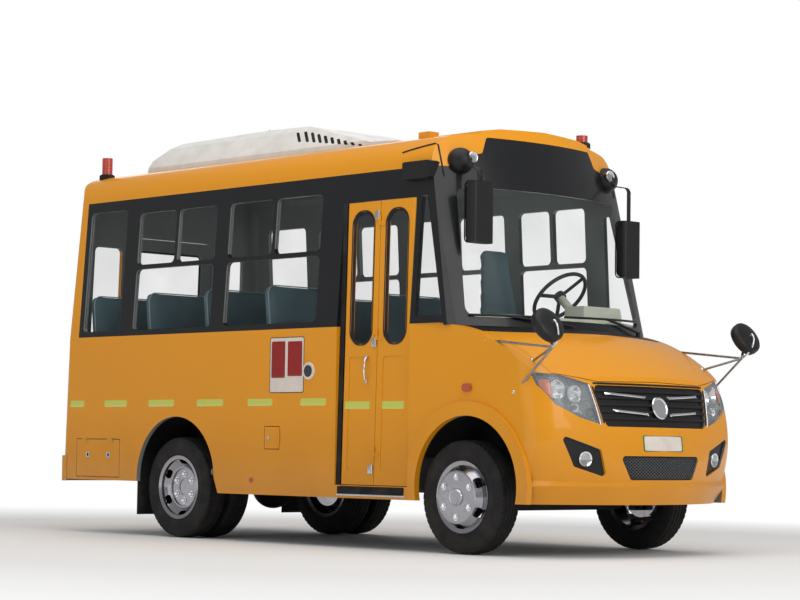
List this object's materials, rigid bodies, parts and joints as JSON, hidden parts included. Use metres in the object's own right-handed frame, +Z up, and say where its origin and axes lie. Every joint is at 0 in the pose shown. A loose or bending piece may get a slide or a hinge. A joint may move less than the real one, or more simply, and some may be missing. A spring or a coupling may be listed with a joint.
{
  "type": "school bus",
  "caption": "Small yellow school bus with a short sloping nose, folding service door, rear exit door, twin rear wheels and a roof air conditioner.",
  "frame": {"origin": "on the ground at the middle of the vehicle's overall box", "axes": "+X forward along the vehicle, +Y to the vehicle's left, +Z up"},
  "size_m": [5.43, 2.2476, 3.1109],
  "materials": {
    "body_yellow": "gloss",
    "band_black": "gloss",
    "clip_yellow": "gloss",
    "black_plastic": "satin",
    "glass_tint": "clear",
    "glass_clear": "clear",
    "door_rubber": "matt",
    "chrome_rim": "polished",
    "tyre_black": "matt",
    "frame_black": "satin",
    "engine_iron": "rough",
    "steel_bare": "brushed",
    "exhaust_steel": "dull",
    "tank_black": "satin",
    "floor_grey": "matt",
    "dash_grey": "matt",
    "unit_white": "satin",
    "beacon_red": "clear gloss",
    "lens_clear": "clear gloss",
    "lens_red": "clear gloss",
    "seat_cloth": "woven",
    "wheel_black": "satin",
    "rubber_black": "matt"
  },
  "bodies": {
    "bus": {"air_conditioner": "unit_white", "beacons": "beacon_red", "chassis_frame": "frame_black", "cowl_panel": "black_plastic", "cross_view_mirrors": "black_plastic", "dashboard": "dash_grey", "driver_seat": "seat_cloth", "engine": "engine_iron", "exhaust": "exhaust_steel", "floor": "floor_grey", "fog_lamp_housings": "black_plastic", "front_axle": "frame_black", "front_clip": "clip_yellow", "fuel_tank": "tank_black", "gearbox_and_shaft": "steel_bare", "grilles": "black_plastic", "header_board": "black_plastic", "headlights": "lens_clear", "left_side": "body_yellow", "left_window_band": "band_black", "mirrors": "black_plastic", "mud_flaps": "rubber_black", "rear_axle": "frame_black", "rear_bumper": "clip_yellow", "rear_wall": "body_yellow", "right_side": "body_yellow", "right_window_band": "band_black", "roof": "body_yellow", "seat_backs": "seat_cloth", "seat_cushions": "seat_cloth", "seat_frames": "frame_black", "service_door_jamb": "door_rubber", "side_glass": "glass_tint", "small_lamps": "lens_clear", "tail_lamps": "lens_red", "wheel_houses": "frame_black", "windshield": "glass_clear", "windshield_frame": "body_yellow", "wipers": "black_plastic"},
    "hood": {"hood": "body_yellow"},
    "emergency_door": {"emergency_door": "body_yellow", "emergency_door_glass": "glass_tint"},
    "door_front_leaf": {"service_door_front_leaf": "body_yellow", "service_door_front_leaf_glass": "glass_tint"},
    "door_rear_leaf": {"service_door_rear_leaf": "body_yellow", "service_door_rear_leaf_glass": "glass_tint"},
    "battery_hatch": {"battery_hatch": "body_yellow"},
    "filler_flap": {"filler_flap": "body_yellow"},
    "knuckle_left": {"knuckle_left": "engine_iron"},
    "knuckle_right": {"knuckle_right": "engine_iron"},
    "steering_wheel": {"steering_wheel": "wheel_black"},
    "front_wheel_left": {"front_rim_left": "chrome_rim", "front_tyre_left": "tyre_black"},
    "front_wheel_right": {"front_rim_right": "chrome_rim", "front_tyre_right": "tyre_black"},
    "rear_wheels_left": {"rear_rims_left": "chrome_rim", "rear_tyres_left": "tyre_black"},
    "rear_wheels_right": {"rear_rims_right": "chrome_rim", "rear_tyres_right": "tyre_black"}
  },
  "joints": [
    {"name": "hood_hinge", "type": "hinge", "parent": "bus", "child": "hood", "pos_m": [1.88, 0, 1.458], "axis": [0, -1, 0], "range_deg": [0, 45]},
    {"name": "emergency_door_hinge", "type": "hinge", "parent": "bus", "child": "emergency_door", "pos_m": [-2.71192, 0.4275, 0.7], "axis": [-0.0342, 0, -0.9994], "range_deg": [0, 100]},
    {"name": "door_jamb_hinge", "type": "hinge", "parent": "bus", "child": "door_front_leaf", "pos_m": [1.2665, -0.9745, 0.43767], "axis": [0, -0.019, -0.9998], "range_deg": [0, 75]},
    {"name": "door_fold_hinge", "type": "hinge", "parent": "door_front_leaf", "child": "door_rear_leaf", "pos_m": [0.947, -1.001, 0.43817], "axis": [0, -0.019, -0.9998], "range_deg": [-150, 0]},
    {"name": "battery_hatch_hinge", "type": "hinge", "parent": "bus", "child": "battery_hatch", "pos_m": [-2.2065, -1.006, 0.7315], "axis": [-1, 0, 0], "range_deg": [0, 90]},
    {"name": "filler_flap_hinge", "type": "hinge", "parent": "bus", "child": "filler_flap", "pos_m": [-0.0345, -1.006, 0.7545], "axis": [0, 0, 1], "range_deg": [0, 110]},
    {"name": "steer_left", "type": "hinge", "parent": "bus", "child": "knuckle_left", "pos_m": [1.75, 0.8, 0.377], "axis": [0, 0, 1], "range_deg": [-32, 32]},
    {"name": "steer_right", "type": "hinge", "parent": "bus", "child": "knuckle_right", "pos_m": [1.75, -0.8, 0.377], "axis": [0, 0, 1], "range_deg": [-32, 32]},
    {"name": "steering_wheel_turn", "type": "hinge", "parent": "bus", "child": "steering_wheel", "pos_m": [1.33, 0.45, 1.79], "axis": [-0.7303, 0, 0.6832], "range_deg": [-512, 512]},
    {"name": "front_left_spin", "type": "hinge", "parent": "knuckle_left", "child": "front_wheel_left", "pos_m": [1.75, 0.86, 0.377], "axis": [0, 1, 0], "continuous": true},
    {"name": "front_right_spin", "type": "hinge", "parent": "knuckle_right", "child": "front_wheel_right", "pos_m": [1.75, -0.86, 0.377], "axis": [0, 1, 0], "continuous": true},
    {"name": "rear_left_spin", "type": "hinge", "parent": "bus", "child": "rear_wheels_left", "pos_m": [-1.263, 0.7425, 0.377], "axis": [0, 1, 0], "continuous": true},
    {"name": "rear_right_spin", "type": "hinge", "parent": "bus", "child": "rear_wheels_right", "pos_m": [-1.263, -0.7425, 0.377], "axis": [0, 1, 0], "continuous": true}
  ],
  "couplings": [
    {"joint": "steer_right", "follows": "steer_left", "ratio": 1},
    {"joint": "steering_wheel_turn", "follows": "steer_left", "ratio": 16},
    {"joint": "door_fold_hinge", "follows": "door_jamb_hinge", "ratio": -2}
  ]
}
